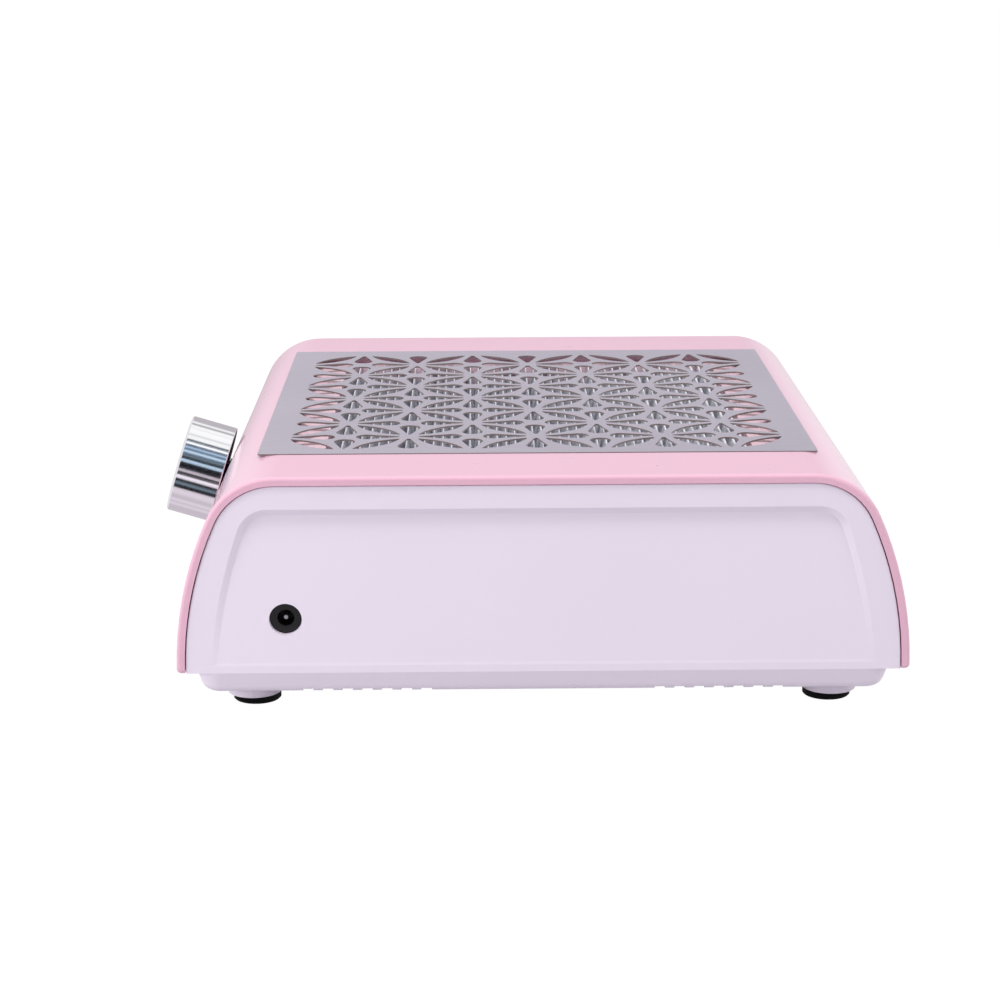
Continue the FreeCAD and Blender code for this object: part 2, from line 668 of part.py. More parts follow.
# ---------------------------------------------------------------- filter
def square_ring(label, outer, inner, low, high, corner=2.0, inner_y=None):
    """Flat square frame with round corners; its opening may be shorter along Y."""
    body = doc.addObject("PartDesign::Body", label.title().replace("_", ""))
    opening = rounded(inner / 2, (inner_y or inner) / 2, corner)
    outlines = [rounded(outer / 2, outer / 2, corner), opening]
    pad(body, sketch_on(body, "XY_Plane", body.Name + "Plan", outlines, low), high)
    return keep(body, label)


def make_filter():
    square_ring("filter_seal", size("filter_side") - 1, size("ledge_side") + 2,
                "Sizes.ledge_height", "Sizes.seal_wall", 3)
    depth = "Sizes.filter_top - Sizes.ledge_height - Sizes.seal_wall"
    square_ring("filter_frame", size("filter_side"), size("filter_clear"),
                "Sizes.ledge_height + Sizes.seal_wall", depth, 3, size("filter_length"))
    # pleated paper: a zigzag strip of constant thickness, folded along X
    half_x = size("filter_clear") / 2 - 0.6
    half = size("filter_length") / 2 - 0.6
    folds = int(2 * half / size("pleat_pitch"))
    step = 2 * half / (2 * folds)
    low, high = FILTER_FOOT + 0.3, size("filter_top") - size("pleat_wall")
    top = []
    bottom = []
    for k in range(2 * folds + 1):
        y = -half + k * step
        z = high if k % 2 else low
        top.append(V(0, y, z + size("pleat_wall")))
        bottom.append(V(0, y, z))
    wire = Part.makePolygon(top + bottom[::-1] + top[:1])
    paper = Part.Face(wire).extrude(V(2 * half_x, 0, 0))
    feature("filter_media", paper, at(-half_x, 0, 0))


# ---------------------------------------------------------------- deck and fans
def make_fan_deck():
    body = doc.addObject("PartDesign::Body", "FanDeck")
    side = size("deck_side") / 2
    height, wall = "Sizes.deck_height", "Sizes.deck_wall"
    fans = [(0, s * size("fan_offset")) for s in (-1, 1)]
    pad(body, sketch_on(body, "XY_Plane", "DeckPlan", [rounded(side, side, 6)], height), wall)
    cut(body, circles_on(body, "XY_Plane", "FanMouth", fans, "Sizes.fan_bore / 2 - 1", height), wall)
    guard = "Sizes.deck_height + 1"
    for radius in (30.0, 15.0):
        rings = circles_on(body, "XY_Plane", f"GuardRing{int(radius)}", fans, f"{radius}", guard)
        for x, y in fans:
            circle = Part.Circle(V(x, y, 0), V(0, 0, 1), radius - GUARD_BAR)
            index = rings.addGeometry(circle, False)
            rings.addConstraint(Sketcher.Constraint("Radius", index, radius - GUARD_BAR))
        pad(body, rings, "Sizes.deck_wall - 1")
    mouth = size("fan_bore") / 2 - 0.5
    bar = GUARD_BAR / 2
    bars = [rectangle((x - mouth, y - bar), (x + mouth, y + bar)) for x, y in fans]
    pad(body, sketch_on(body, "XY_Plane", "GuardBarX", bars, guard), "Sizes.deck_wall - 1")
    bars = [rectangle((x - bar, y - mouth), (x + bar, y + mouth)) for x, y in fans]
    pad(body, sketch_on(body, "XY_Plane", "GuardBarY", bars, guard), "Sizes.deck_wall - 1")
    cut(body, circles_on(body, "XY_Plane", "FanScrewHole", FAN_SCREWS, "2", height), wall)
    cut(body, circles_on(body, "XY_Plane", "DeckScrewHole", DECK_POSTS, "1.7", height), wall)
    keep(body, "fan_deck")
    outer = size("pocket_side") + 2 * size("pocket_wall") + 1
    square_ring("deck_seal", outer, size("pocket_side") - 1, "Sizes.deck_height + Sizes.deck_wall",
                "Sizes.pocket_foot - Sizes.deck_height - Sizes.deck_wall", 4)


def make_fan_frame(name, y):
    """Square frame, struts and motor mount; the struts are on the outlet side, below."""
    body = doc.addObject("PartDesign::Body", name.title().replace("_", ""))
    half = size("fan_side") / 2
    tag = body.Name
    pitch = size("fan_screw_pitch") / 2
    corners = [(sx * pitch, sy * pitch) for sx, sy in CORNERS]
    pad(body, sketch_on(body, "XY_Plane", tag + "Plan", [rounded(half, half, 5)]), "Sizes.fan_depth")
    cut(body, circles_on(body, "XY_Plane", tag + "Bore", [(0, 0)], "Sizes.fan_bore / 2"),
        "Sizes.fan_depth")
    reach, strut = half - 0.6, STRUT_WIDTH / 2
    bars = rectangle((-reach, -strut), (reach, strut))
    pad(body, sketch_on(body, "XY_Plane", tag + "StrutX", [bars]), f"{STRUT_DEPTH}")
    bars = rectangle((-strut, -reach), (strut, reach))
    pad(body, sketch_on(body, "XY_Plane", tag + "StrutY", [bars]), f"{STRUT_DEPTH}")
    pad(body, circles_on(body, "XY_Plane", tag + "Base", [(0, 0)], "Sizes.hub_dia / 2 + 1"),
        f"{STRUT_DEPTH}")
    pad(body, circles_on(body, "XY_Plane", tag + "Tube", [(0, 0)], f"{TUBE_R}"), f"{TUBE_TOP}")
    cut(body, circles_on(body, "XY_Plane", tag + "TubeBore", [(0, 0)], f"{TUBE_BORE_R}", "1.2"),
        f"{TUBE_TOP}")
    cut(body, circles_on(body, "XY_Plane", tag + "Screws", corners, f"{FAN_SCREW_R}"),
        "Sizes.fan_depth")
    return keep(body, name, at(0, y, FAN_FOOT))


def make_impeller(name, y):
    """Hub cup with pitched blades, open side down."""
    hub_r = size("hub_dia") / 2
    tip_r = size("blade_tip_dia") / 2
    low, high = 4.0, 23.0
    depth = high - low
    hub = Part.makeCylinder(hub_r, depth, V(0, 0, low))
    hub = hub.cut(Part.makeCylinder(hub_r - HUB_WALL, depth - 2.2, V(0, 0, low)))
    hub = hub.cut(Part.makeCylinder(size("spindle_dia") / 2, high))
    middle = (low + high) / 2
    sweep = Part.makeCylinder(tip_r, depth, V(0, 0, low))
    sweep = sweep.cut(Part.makeCylinder(hub_r - 0.8, depth, V(0, 0, low)))
    blades = []
    for k in range(BLADE_COUNT):
        blade = Part.makeBox(tip_r + 5, BLADE_CHORD, BLADE_WALL)
        blade.translate(V(0, -BLADE_CHORD / 2, -BLADE_WALL / 2))
        blade.rotate(V(0, 0, 0), V(1, 0, 0), BLADE_PITCH)
        blade.translate(V(0, 0, middle))
        blade.rotate(V(0, 0, 0), V(0, 0, 1), k * 360 / BLADE_COUNT)
        blades.append(blade.common(sweep))
    return feature(name, hub.fuse(blades).removeSplitter(), at(0, y, FAN_FOOT))


def make_stator():
    """Four-pole iron core on the bearing tube, with its coil windings."""
    foot = V(0, 0, CORE_FOOT)
    core = Part.makeCylinder(8, CORE_DEPTH, foot)
    for turn in (0, 90):
        corner = V(-CORE_R, -TOOTH_WIDTH / 2, CORE_FOOT)
        tooth = Part.makeBox(2 * CORE_R, TOOTH_WIDTH, CORE_DEPTH, corner)
        tooth.rotate(V(0, 0, 0), V(0, 0, 1), turn)
        core = core.fuse(tooth)
    shoe = Part.makeCylinder(CORE_R, CORE_DEPTH, foot)
    shoe = shoe.cut(Part.makeCylinder(CORE_R - 2, CORE_DEPTH, foot))
    for turn in (45, 135):
        gap = Part.makeBox(40, 6, CORE_DEPTH + 2, V(-20, -3, CORE_FOOT - 1))
        gap.rotate(V(0, 0, 0), V(0, 0, 1), turn)
        shoe = shoe.cut(gap)
    core = core.fuse(shoe).cut(Part.makeCylinder(TUBE_R, CORE_DEPTH, foot))
    return core.removeSplitter()


def make_windings():
    """Four copper coils, one round each tooth."""
    coils = []
    near, length, wall = 8.5, 3.0, 2.0
    tall, low = CORE_DEPTH + 3, CORE_FOOT - 1.5
    wide = TOOTH_WIDTH + 2 * wall
    for k in range(4):
        coil = Part.makeBox(length, wide, tall, V(near, -wide / 2, low))
        tooth = Part.makeBox(length, TOOTH_WIDTH, CORE_DEPTH, V(near, -TOOTH_WIDTH / 2, CORE_FOOT))
        coil = coil.cut(tooth)
        coil.rotate(V(0, 0, 0), V(0, 0, 1), 90 * k)
        coils.append(coil)
    return coils


def make_fans():
    stator = make_stator()
    spindle_r = size("spindle_dia") / 2
    for name, side in (("front", -1), ("rear", 1)):
        y = side * size("fan_offset")
        here = at(0, y, FAN_FOOT)
        make_fan_frame(f"fan_frame_{name}", y)
        feature(f"fan_stator_{name}", stator.copy(), here)
        feature(f"fan_windings_{name}", Part.makeCompound(make_windings()), here)
        copies(f"fan_bearings_{name}", revolve(ring(TUBE_BORE_R, spindle_r + 0.05, 0, 3.5)),
               [at(0, y, FAN_FOOT + 1.8), at(0, y, FAN_FOOT + 12)])
        make_impeller(f"impeller_{name}", y)
        hub_inner = size("hub_dia") / 2 - HUB_WALL
        magnet = turned(f"Magnet{name}", ring(hub_inner, hub_inner - 2, 6, 18), here)
        magnet.Label = f"rotor_magnet_{name}"
        outline = [(0, 1.6), (spindle_r, 1.6), (spindle_r, 22.6), (0, 22.6)]
        spindle = turned(f"Spindle{name}", outline, here)
        spindle.Label = f"rotor_spindle_{name}"
    screw = pan_screw(3.2, 1.8, FAN_SCREW_R, 12)
    copies("fan_screws", screw, [at(x, y, DECK_TOP) for x, y in FAN_SCREWS])
    copies("deck_screws", pan_screw(2.9, 1.7, size("screw_dia") / 2, 10),
           [at(x, y, DECK_TOP) for x, y in DECK_POSTS])


# ---------------------------------------------------------------- feet and case screws
def make_feet():
    radius = size("foot_dia") / 2
    top = size("pad_wall")
    rubber = revolve([(0, 0), (radius - 0.5, 0), (radius, 0.5), (radius, top), (3.2, top),
                      (3.2, top + 3), (0, top + 3)])
    copies("foot_pads", rubber, [at(x, y, 0) for x, y in FEET])
    upside_down = FreeCAD.Rotation(V(1, 0, 0), 180)
    copies("case_screws", pan_screw(3.1, 2.2, size("screw_dia") / 2, 38),
           [at(x, y, HEAD_SEAT, upside_down) for x, y in FEET])


# ---------------------------------------------------------------- speed control
def make_speed_control():
    radius, depth = size("knob_dia") / 2, size("knob_depth")
    back = size("knob_gap")
    front = back + depth
    inner = radius - size("knob_wall")
    chamfer = 0.7
    turned("Knob", [(inner, back), (radius - 0.3, back), (radius, back + 0.3), (radius, front - chamfer),
                    (radius - chamfer, front), (0, front), (0, front - 2), (inner, front - 2)],
           KNOB_FRAME, "knob")
    shaft_r = size("shaft_dia") / 2
    core_back = 3.8
    shaft_end = front - 5
    turned("KnobCore", [(shaft_r, core_back), (inner - 1.5, core_back), (inner, core_back + 1.5),
                        (inner, front - 2), (0, front - 2), (0, shaft_end), (shaft_r, shaft_end)],
           KNOB_FRAME, "knob_core")
    turned("ControlShaft", [(0, -11), (shaft_r, -11), (shaft_r, shaft_end), (0, shaft_end)],
           KNOB_FRAME, "control_shaft")
    bore = shaft_r + 0.06
    bushing = size("bushing_dia") / 2
    behind = -size("cover_wall") - 0.4
    turned("SpeedControl", [(0, CONTROL_BACK), (8.5, CONTROL_BACK), (8.5, behind), (bushing, behind),
                            (bushing, 3.2), (bore, 3.2), (bore, CONTROL_BACK + 2), (0, CONTROL_BACK + 2)],
           KNOB_FRAME, "speed_control")
    washer_top = 0.62
    turned("ControlWasher", ring(7.2, bushing + 0.05, 0.02, washer_top), KNOB_FRAME, "control_washer")
    corner = V(6.4, 0, washer_top)
    turns = [FreeCAD.Rotation(V(0, 0, 1), 60 * k) for k in range(7)]
    nut = Part.Face(Part.makePolygon([turn.multVec(corner) for turn in turns])).extrude(V(0, 0, 2.2))
    nut = nut.cut(Part.makeCylinder(bushing, 6))
    feature("control_nut", nut, KNOB_FRAME)


# ---------------------------------------------------------------- DC socket
def make_socket():
    place = FreeCAD.Placement(V(PANEL_X, size("socket_y"), size("socket_height")),
                              FreeCAD.Rotation(V(0, 1, 0), 90))
    barrel = size("socket_hole") / 2 - 0.15
    face = -3.0
    turned("Socket", [(0, -SOCKET_DEPTH), (7.0, -SOCKET_DEPTH), (7.0, -7.6), (barrel, -7.6),
                      (barrel, face), (3.0, face), (2.75, face - 0.6), (2.75, -12), (0, -12)],
           place, "dc_socket")
    turned("SocketPin", [(0, -12), (1.0, -12), (1.0, face - 1.2), (0.7, face - 0.8), (0, face - 0.8)],
           place, "dc_socket_pin")
    turned("SocketNut", ring(8.2, barrel, -7.5, -4.6), place, "dc_socket_nut")


# ---------------------------------------------------------------- control board
def make_board():
    top = BOARD_Z + BOARD_WALL
    body = doc.addObject("PartDesign::Body", "ControlBoard")
    corners = [(x - BOARD_X, y - BOARD_Y) for x, y in BOARD_POSTS]
    pad(body, sketch_on(body, "XY_Plane", "BoardPlan", [rounded(BOARD_HALF_X, BOARD_HALF_Y, 2)]),
        f"{BOARD_WALL}")
    cut(body, circles_on(body, "XY_Plane", "BoardHoles", corners, "1.6"), f"{BOARD_WALL}")
    keep(body, "control_board", at(BOARD_X, BOARD_Y, BOARD_Z))
    copies("board_screws", pan_screw(2.5, 1.4, 1.1, 6), [at(x, y, top) for x, y in BOARD_POSTS])
    can = revolve([(0, 0), (4, 0), (4, 9.5), (3.6, 10), (0, 10)])
    copies("capacitors", can, [at(BOARD_X - 8 + 10 * k, BOARD_Y + 7, top) for k in range(2)])
    fins = Part.makeBox(14, 8, 9)
    for k in range(3):
        fins = fins.cut(Part.makeBox(2.2, 8, 6.5, V(1.6 + 4.3 * k, 0, 2.5)))
    feature("heat_sink", fins, at(BOARD_X - 4, BOARD_Y - 10, top))
    header = Part.makeBox(HEADER_LENGTH, HEADER_WIDTH, HEADER_HEIGHT)
    copies("board_headers", header, [at(x, y, top) for x, y in HEADERS])


# ---------------------------------------------------------------- internal leads
def lead(label, points, diameter):
    """Round lead along straight runs joined by tangent arcs, as large as the runs allow."""
    route = [V(*p) for p in points]
    edges = []
    last = route[0]
    length = 0.0
    radii = []
    for before, here, after in zip(route, route[1:], route[2:]):
        back, ahead = before - here, after - here
        run = 0.45 * min(back.Length, ahead.Length)
        back.normalize()
        ahead.normalize()
        turn = math.pi - back.getAngle(ahead)
        radii.append(run / math.tan(turn / 2))
        start, end = here + back * run, here + ahead * run
        towards = (back + ahead).normalize()
        centre = here + towards * (radii[-1] / math.cos(turn / 2))
        middle = centre - towards * radii[-1]
        edges.append(Part.LineSegment(last, start).toShape())
        edges.append(Part.Arc(start, middle, end).toShape())
        length += edges[-2].Length + edges[-1].Length
        last = end
    edges.append(Part.LineSegment(last, route[-1]).toShape())
    length += edges[-1].Length
    path = Part.Wire(edges)
    heading = (route[1] - route[0]).normalize()
    mouth = Part.Wire([Part.Circle(route[0], heading, diameter / 2).toShape()])
    tube = path.makePipeShell([mouth], True, False)
    expected = math.pi * diameter ** 2 / 4 * length
    if abs(tube.Volume - expected) > 0.02 * expected:
        raise RuntimeError(f"{label} does not fill its route")
    print(f"{label}: length {length:.1f} mm, bend radii {[round(r, 1) for r in radii]}")
    feature(label, tube)


def make_leads():
    """Leads from the socket, the speed control and both fans down into the board's plugs."""
    top = BOARD_Z + BOARD_WALL + HEADER_HEIGHT
    plugs = [V(x + HEADER_LENGTH / 2, y + HEADER_WIDTH / 2, top) for x, y in HEADERS]
    back = PANEL_X - SOCKET_DEPTH
    across, high = size("socket_y"), size("socket_height")
    lead("socket_lead", [(back, across, high), (back - 8, across, high),
                         (back - 17, across - 4, high + 4), (plugs[1].x, plugs[1].y, top + 10),
                         tuple(plugs[1])], LEAD_DIA)
    seat = KNOB_FRAME.multVec(V(0, 0, CONTROL_BACK))
    behind = KNOB_FRAME.multVec(V(0, 0, -22))
    lead("control_lead", [tuple(seat), tuple(behind), (16, -99, 37), (36, -100, 34),
                          (plugs[0].x, plugs[0].y, top + 9), tuple(plugs[0])], LEAD_DIA)
    edge = size("fan_side") / 2
    low = FAN_FOOT + 6
    y = -size("fan_offset")
    lead("fan_lead_front", [(edge, y - 12, low), (edge + 9, y - 12, low), (edge + 12, y - 30, low - 1),
                            (plugs[2].x, plugs[2].y, top + 9), tuple(plugs[2])], LEAD_DIA)
    y = size("fan_offset")
    lead("fan_lead_rear", [(edge, y - 12, low), (edge + 9, y - 12, low), (edge + 16, y - 32, low - 2),
                           (edge + 17, y - 54, low - 5), (edge + 20, y - 80, low - 4),
                           (edge + 22, y - 108, low - 5), (edge + 32, y - 126, low - 4),
                           (plugs[3].x, plugs[3].y, top + 9), tuple(plugs[3])], LEAD_DIA)


# ---------------------------------------------------------------- build, check and write
make_top_cover()
make_lower_case()
make_grille_plate()
make_filter()
make_fan_deck()
make_fans()
make_feet()
make_speed_control()
make_socket()
make_board()
make_leads()
doc.recompute()

faults = [f"{o.Name}: {o.State}" for o in doc.Objects if "Invalid" in o.State or "Error" in o.State]
for part in parts:
    if part.Shape.isNull() or not part.Shape.isValid() or not part.Shape.Solids:
        faults.append(f"{part.Label}: bad shape")
if faults:
    raise RuntimeError("; ".join(faults))

os.makedirs("parts", exist_ok=True)
for part in parts:
    part.Shape.exportStep(f"parts/{part.Label}.step")
print(len(parts), "sub-parts written")
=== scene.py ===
import json
import math

import bmesh
import bpy
from mathutils import Matrix, Vector


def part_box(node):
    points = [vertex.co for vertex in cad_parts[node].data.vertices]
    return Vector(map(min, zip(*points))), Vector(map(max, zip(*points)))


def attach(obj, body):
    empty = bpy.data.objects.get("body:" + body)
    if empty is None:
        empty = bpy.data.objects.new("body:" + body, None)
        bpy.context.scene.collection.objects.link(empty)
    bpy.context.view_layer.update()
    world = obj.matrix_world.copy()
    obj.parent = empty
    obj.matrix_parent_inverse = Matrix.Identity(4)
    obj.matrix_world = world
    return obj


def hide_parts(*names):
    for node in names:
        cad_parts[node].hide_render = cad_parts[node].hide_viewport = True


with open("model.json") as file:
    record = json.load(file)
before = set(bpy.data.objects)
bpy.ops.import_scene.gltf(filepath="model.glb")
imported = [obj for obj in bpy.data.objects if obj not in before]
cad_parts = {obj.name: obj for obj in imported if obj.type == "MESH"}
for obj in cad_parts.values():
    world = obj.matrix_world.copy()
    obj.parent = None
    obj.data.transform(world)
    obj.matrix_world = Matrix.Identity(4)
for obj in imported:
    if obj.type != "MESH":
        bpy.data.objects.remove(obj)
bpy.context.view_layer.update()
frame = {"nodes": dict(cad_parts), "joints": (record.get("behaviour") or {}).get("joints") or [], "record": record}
NODES = frame["nodes"]

# ---------------------------------------------------------------- places read from the frame
MM = 0.001
KNOB_TURN = next(joint for joint in frame["joints"] if joint["name"] == "knob_turn")
KNOB_SEAT = Vector(KNOB_TURN["pos_m"])
KNOB_AXIS = Vector(KNOB_TURN["axis"]).normalized()
PLEAT_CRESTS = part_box("filter_media")[1].z


def srgb(red, green, blue):
    """Linear colour from 0-255 display values."""
    def linear(value):
        value /= 255
        return value / 12.92 if value <= 0.04045 else ((value + 0.055) / 1.055) ** 2.4
    return (linear(red), linear(green), linear(blue), 1.0)


# ---------------------------------------------------------------- camera
CAMERA_PLACE = Vector((0.93824, -0.02301, 0.27957))
CAMERA_PITCH = 14.102
CAMERA_YAW = -0.561
CAMERA_ROLL = -0.243
LENS = 86.19


def make_camera():
    """Long lens from the side with the DC socket, a little above the top."""
    pitch, yaw, roll = (math.radians(angle) for angle in (CAMERA_PITCH, CAMERA_YAW, CAMERA_ROLL))
    forward = Vector((-math.cos(pitch) * math.cos(yaw), -math.cos(pitch) * math.sin(yaw), -math.sin(pitch)))
    right = forward.cross(Vector((0, 0, 1))).normalized()
    up = right.cross(forward)
    right, up = (math.cos(roll) * right + math.sin(roll) * up,
                 math.cos(roll) * up - math.sin(roll) * right)
    camera = bpy.data.objects.new("camera", bpy.data.cameras.new("camera"))
    camera.data.lens = LENS
    camera.data.sensor_width = 36.0
    camera.data.clip_start = 0.05
    camera.data.clip_end = 50.0
    camera.matrix_world = Matrix((
        (right.x, up.x, -forward.x, CAMERA_PLACE.x),
        (right.y, up.y, -forward.y, CAMERA_PLACE.y),
        (right.z, up.z, -forward.z, CAMERA_PLACE.z),
        (0, 0, 0, 1)))
    bpy.context.scene.collection.objects.link(camera)
    bpy.context.scene.camera = camera


# ---------------------------------------------------------------- node helpers
class Shader:
    """Short calls for building one principled material."""

    def __init__(self, name):
        self.material = bpy.data.materials.new(name)
        self.material.use_nodes = True
        self.tree = self.material.node_tree
        self.tree.nodes.clear()
        self.out = self.add("ShaderNodeOutputMaterial")
        self.bsdf = self.add("ShaderNodeBsdfPrincipled")
        self.link(self.bsdf.outputs[0], self.out.inputs["Surface"])
        self.place = self.add("ShaderNodeTexCoord").outputs["Object"]

    def add(self, kind, **settings):
        node = self.tree.nodes.new(kind)
        for key, value in settings.items():
            setattr(node, key, value)
        return node

    def link(self, source, target):
        self.tree.links.new(source, target)

    def put(self, **sockets):
        for key, value in sockets.items():
            self.bsdf.inputs[key.replace("_", " ")].default_value = value

    def noise(self, scale, detail=3.0, stretch=None, rough=0.5):
        node = self.add("ShaderNodeTexNoise")
        node.inputs["Scale"].default_value = scale
        node.inputs["Detail"].default_value = detail
        node.inputs["Roughness"].default_value = rough
        source = self.place
        if stretch:
            mapping = self.add("ShaderNodeMapping")
            mapping.inputs["Scale"].default_value = stretch
            self.link(source, mapping.inputs["Vector"])
            source = mapping.outputs[0]
        self.link(source, node.inputs["Vector"])
        return node.outputs["Fac"]

    def span(self, value, low, high, to_low, to_high):
        node = self.add("ShaderNodeMapRange")
        for key, number in (("From Min", low), ("From Max", high), ("To Min", to_low), ("To Max", to_high)):
            node.inputs[key].default_value = number
        self.link(value, node.inputs["Value"])
        return node.outputs[0]

    def mix(self, factor, first, second):
        node = self.add("ShaderNodeMix", data_type="RGBA")
        if isinstance(factor, float):
            node.inputs["Factor"].default_value = factor
        else:
            self.link(factor, node.inputs["Factor"])
        for socket, value in ((node.inputs[6], first), (node.inputs[7], second)):
            if isinstance(value, tuple):
                socket.default_value = value
            else:
                self.link(value, socket)
        return node.outputs[2]

    def bump(self, height, strength, distance=0.0002, below=None):
        node = self.add("ShaderNodeBump")
        node.inputs["Strength"].default_value = strength
        node.inputs["Distance"].default_value = distance
        self.link(height, node.inputs["Height"])
        if below is not None:
            self.link(below, node.inputs["Normal"])
        return node.outputs[0]

    def colour(self, source):
        self.link(source, self.bsdf.inputs["Base Color"])

    def roughness(self, source):
        self.link(source, self.bsdf.inputs["Roughness"])

    def normal(self, source):
        self.link(source, self.bsdf.inputs["Normal"])


# ---------------------------------------------------------------- materials
def moulded(name, colour, rough, coat=0.0, grain=0.06):
    """Moulded plastic: faint flow mottling, a fine grain and a slightly uneven gloss."""
    s = Shader(name)
    shade = tuple(c * 0.97 for c in colour[:3]) + (1.0,)
    s.colour(s.mix(s.span(s.noise(14.0, 1.0), 0.1, 0.9, 0.0, 1.0), colour, shade))
    s.roughness(s.span(s.noise(60.0, 1.0), 0.1, 0.9, rough * 0.85, rough * 1.15))
    s.normal(s.bump(s.noise(2200.0, 2.0), grain, 0.00005))
    s.put(Coat_Weight=coat, Coat_Roughness=0.03, IOR=1.5)
    return s.material


def pierced_steel():
    """Satin stainless sheet: fine rolling lines along Y; every face that does not face up, the walls of the cut
    holes among them, is painted darker and browner as painted shade.
    """
    s = Shader("plate_steel")
    lines = s.noise(1400.0, 4.0, stretch=(1.0, 0.03, 1.0))
    face = s.mix(s.span(s.noise(9.0, 2.0), 0.35, 0.65, 0.0, 1.0), srgb(205, 201, 213), srgb(212, 208, 220))
    face = s.mix(s.span(lines, 0.35, 0.65, 0.0, 0.3), face, srgb(190, 185, 197))
    # painted shade: faces turned away from up, such as the hole walls and the underside, get a dark brownish
    # colour and less metal
    geometry = s.add("ShaderNodeNewGeometry")
    split = s.add("ShaderNodeSeparateXYZ")
    s.link(geometry.outputs["True Normal"], split.inputs[0])
    painted_wall_shade = s.span(split.outputs["Z"], 0.5, 0.9, 1.0, 0.0)
    s.colour(s.mix(painted_wall_shade, face, srgb(134, 122, 120)))
    s.roughness(s.span(lines, 0.3, 0.7, 0.34, 0.42))
    s.normal(s.bump(lines, 0.06, 0.00003))
    s.link(s.span(painted_wall_shade, 0.0, 1.0, 0.8, 0.3), s.bsdf.inputs["Metallic"])
    return s.material


def chrome():
    """Polished plating with hair-fine wiping marks."""
    s = Shader("knob_chrome")
    s.colour(s.mix(s.span(s.noise(40.0), 0.3, 0.7, 0.0, 1.0), srgb(243, 243, 245), srgb(236, 236, 239)))
    s.roughness(s.span(s.noise(300.0), 0.3, 0.7, 0.004, 0.012))
    s.put(Metallic=1.0)
    return s.material


def metal(name, colour, rough, metallic=1.0):
    s = Shader(name)
    shade = tuple(c * 0.8 for c in colour[:3]) + (1.0,)
    s.colour(s.mix(s.span(s.noise(120.0, 4.0), 0.35, 0.65, 0.0, 1.0), colour, shade))
    s.roughness(s.span(s.noise(400.0), 0.3, 0.7, rough * 0.8, rough * 1.2))
    s.normal(s.bump(s.noise(1500.0), 0.1, 0.00003))
    s.put(Metallic=metallic)
    return s.material


def soft_black(name, colour, rough, scale):
    """Rubber or foam with a fine pitted grain."""
    s = Shader(name)
    s.colour(s.mix(s.span(s.noise(scale / 4, 4.0), 0.3, 0.7, 0.0, 1.0), colour,
                   tuple(c * 1.6 for c in colour[:3]) + (1.0,)))
    s.roughness(s.span(s.noise(scale), 0.3, 0.7, rough * 0.9, min(1.0, rough * 1.1)))
    s.normal(s.bump(s.noise(scale, 4.0), 0.3, 0.0001))
    s.put(Specular_IOR_Level=0.12)
    return s.material


def paper():
    """Non-woven filter paper with loose fibres; the pleat crests are painted near-white and given a painted glow
    that stands in for light scattered through the paper.
    """
    s = Shader("filter_paper")
    fibres = s.noise(1600.0, 6.0, stretch=(0.4, 1.0, 1.0), rough=0.7)
    sheet = s.mix(s.span(fibres, 0.35, 0.65, 0.0, 1.0), srgb(176, 178, 186), srgb(226, 226, 232))
    height = s.add("ShaderNodeSeparateXYZ")
    s.link(s.place, height.inputs[0])
    # painted highlight: the paper is whitened towards the pleat crests, by height
    painted_crest_light = s.span(height.outputs["Z"], PLEAT_CRESTS - 1.6 * MM, PLEAT_CRESTS - 0.4 * MM, 0.0, 1.0)
    s.colour(s.mix(painted_crest_light, sheet, srgb(252, 252, 254)))
    # painted glow: emission at the pleat crests, though the paper is no lamp
    glow = s.mix(painted_crest_light, (0.02, 0.019, 0.024, 1.0), (0.36, 0.35, 0.37, 1.0))
    s.link(glow, s.bsdf.inputs["Emission Color"])
    s.normal(s.bump(fibres, 0.5, 0.0002))
    s.put(Roughness=0.8, Emission_Strength=1.0)
    return s.material


def circuit_board():
    """Solder mask with faint copper tracks under it."""
    s = Shader("board")
    tracks = s.add("ShaderNodeTexBrick")
    tracks.inputs["Scale"].default_value = 160.0
    tracks.inputs["Mortar Size"].default_value = 0.04
    s.link(s.place, tracks.inputs["Vector"])
    s.colour(s.mix(tracks.outputs["Fac"], srgb(18, 92, 52), srgb(38, 128, 70)))
    s.normal(s.bump(tracks.outputs["Fac"], 0.2, 0.00005))
    s.put(Roughness=0.35)
    return s.material


# the mounting hardware just behind the knob is coloured near-black: painted shade for the dark gap behind the knob
PAINTED_SHADE_HARDWARE = ("control_washer", "control_nut", "speed_control")


